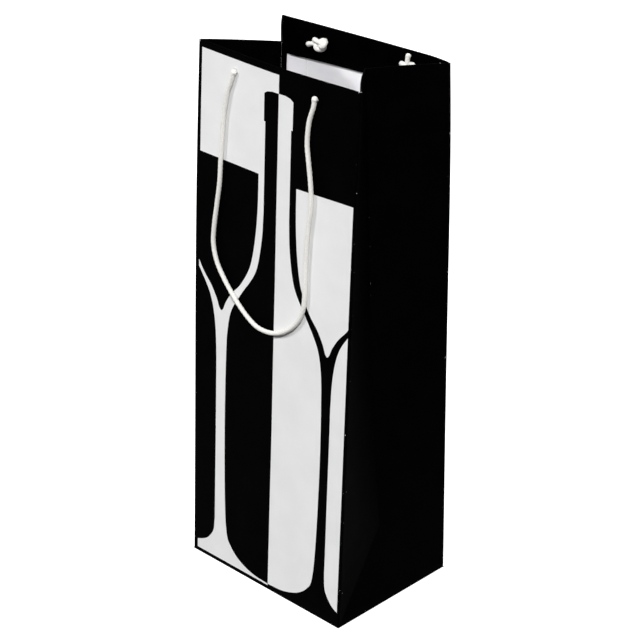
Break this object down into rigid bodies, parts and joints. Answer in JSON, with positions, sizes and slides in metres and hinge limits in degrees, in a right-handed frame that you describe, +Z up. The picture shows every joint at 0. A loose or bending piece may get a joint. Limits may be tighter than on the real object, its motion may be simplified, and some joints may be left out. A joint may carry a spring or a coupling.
{
  "type": "wine bottle gift bag",
  "caption": "Tall gusseted paper gift bag for a bottle, with a block bottom, turned-in hem and knotted rope handles that swing.",
  "frame": {"origin": "centre of the base, on the surface the bag stands on", "axes": "+Z up towards the mouth, front printed face towards -Y, right gusset towards +X"},
  "size_m": [0.127, 0.095, 0.3307],
  "materials": {
    "printed_face": "matt laminated white and black print",
    "black_sheet": "matt laminated black print",
    "inside_sheet": "uncoated white paper",
    "board": "grey board",
    "rope": "white twisted rope"
  },
  "bodies": {
    "base": {"bottom_flap_back": "black_sheet", "bottom_flap_front": "black_sheet", "tuck_flap_left": "black_sheet", "tuck_flap_right": "black_sheet", "bottom_board": "board", "left_gusset_foot": "black_sheet", "right_gusset_foot": "black_sheet"},
    "front_face": {"front_panel": "printed_face", "front_header_card": "board", "front_hem": "black_sheet", "front_knot_left": "rope", "front_knot_right": "rope"},
    "back_face": {"back_panel": "printed_face", "back_header_card": "board", "back_hem": "black_sheet", "back_knot_left": "rope", "back_knot_right": "rope", "side_seam_flap": "inside_sheet"},
    "left_front_half": {"left_gusset_front": "black_sheet", "left_hem_front": "black_sheet"},
    "left_back_half": {"left_gusset_back": "black_sheet", "left_hem_back": "black_sheet"},
    "right_front_half": {"right_gusset_front": "black_sheet", "right_hem_front": "black_sheet"},
    "right_back_half": {"right_gusset_back": "black_sheet", "right_hem_back": "black_sheet"},
    "front_handle": {"front_handle_cord": "rope"},
    "back_handle": {"back_handle_cord": "rope"}
  },
  "joints": [
    {"name": "mouth_front", "type": "hinge", "parent": "base", "child": "front_face", "pos_m": [0, -0.0475, 0.001], "axis": [-1, 0, 0], "range_deg": [-0.8, 3], "stiffness_Nm_per_rad": 1, "springref_deg": -0.11},
    {"name": "mouth_back", "type": "hinge", "parent": "base", "child": "back_face", "pos_m": [0, 0.0475, 0.001], "axis": [1, 0, 0], "range_deg": [-0.8, 3], "stiffness_Nm_per_rad": 1, "springref_deg": -0.11},
    {"name": "crease_right_front", "type": "hinge", "parent": "front_face", "child": "right_front_half", "pos_m": [0.0631, -0.0471, 0.001], "axis": [0, 0.0394, 0.9992], "range_deg": [-7, 26]},
    {"name": "crease_left_front", "type": "hinge", "parent": "front_face", "child": "left_front_half", "pos_m": [-0.0631, -0.0471, 0.001], "axis": [0, -0.0394, -0.9992], "range_deg": [-7, 26]},
    {"name": "crease_right_back", "type": "hinge", "parent": "back_face", "child": "right_back_half", "pos_m": [0.0631, 0.0471, 0.001], "axis": [0, 0.0394, -0.9992], "range_deg": [-7, 26]},
    {"name": "crease_left_back", "type": "hinge", "parent": "back_face", "child": "left_back_half", "pos_m": [-0.0631, 0.0471, 0.001], "axis": [0, -0.0394, 0.9992], "range_deg": [-7, 26]},
    {"name": "front_handle_swing", "type": "hinge", "parent": "front_face", "child": "front_handle", "pos_m": [0, -0.03753, 0.31986], "axis": [-1, 0, 0], "range_deg": [0, 180]},
    {"name": "back_handle_swing", "type": "hinge", "parent": "back_face", "child": "back_handle", "pos_m": [0, 0.03753, 0.31986], "axis": [1, 0, 0], "range_deg": [0, 180]}
  ],
  "couplings": [
    {"joint": "mouth_back", "follows": "mouth_front", "ratio": 1},
    {"joint": "crease_right_front", "follows": "mouth_front", "ratio": 8.6},
    {"joint": "crease_left_front", "follows": "mouth_front", "ratio": 8.6},
    {"joint": "crease_right_back", "follows": "mouth_front", "ratio": 8.6},
    {"joint": "crease_left_back", "follows": "mouth_front", "ratio": 8.6}
  ]
}
